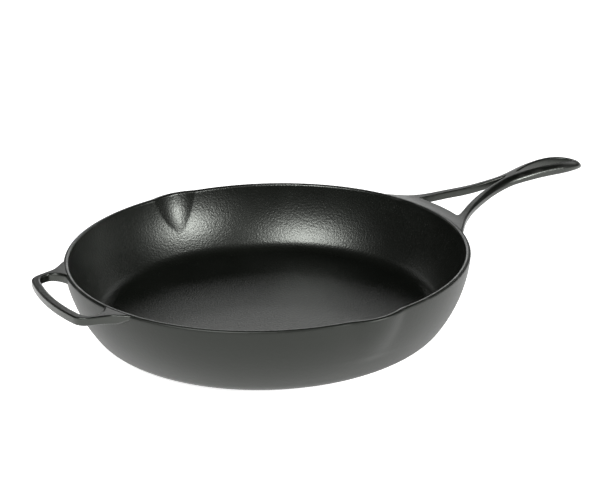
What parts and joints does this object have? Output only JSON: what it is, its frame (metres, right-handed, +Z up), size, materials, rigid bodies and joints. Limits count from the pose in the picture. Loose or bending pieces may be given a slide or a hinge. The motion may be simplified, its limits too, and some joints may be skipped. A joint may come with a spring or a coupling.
{
  "type": "cast iron skillet",
  "caption": "Deep round cast iron skillet with sloped walls, two pour spouts, a forked long handle with a hang hole and a helper loop.",
  "frame": {"origin": "centre of the round base, on the surface the skillet rests on", "axes": "+Z up out of the bowl, +X along the long handle away from the bowl, pour spouts towards +Y and -Y"},
  "size_m": [0.502, 0.3214, 0.0749],
  "materials": {
    "seasoned_iron": "oil-seasoned cast iron, satin black, fine pebbled grain",
    "handle_iron": "oil-seasoned cast iron, smoother, with lighter rounded edges"
  },
  "bodies": {
    "root": {"cooking_floor": "seasoned_iron", "bottom_corner": "seasoned_iron", "side_wall": "seasoned_iron", "rim_handle_side": "seasoned_iron", "rim_helper_side": "seasoned_iron", "pour_spout_left": "seasoned_iron", "pour_spout_right": "seasoned_iron", "handle_bridge": "handle_iron", "handle_leg_left": "handle_iron", "handle_leg_right": "handle_iron", "handle_neck": "handle_iron", "grip_rail_left": "handle_iron", "grip_rail_right": "handle_iron", "grip_end": "handle_iron", "helper_bar": "handle_iron", "helper_arm_left": "handle_iron", "helper_arm_right": "handle_iron"}
  },
  "joints": []
}
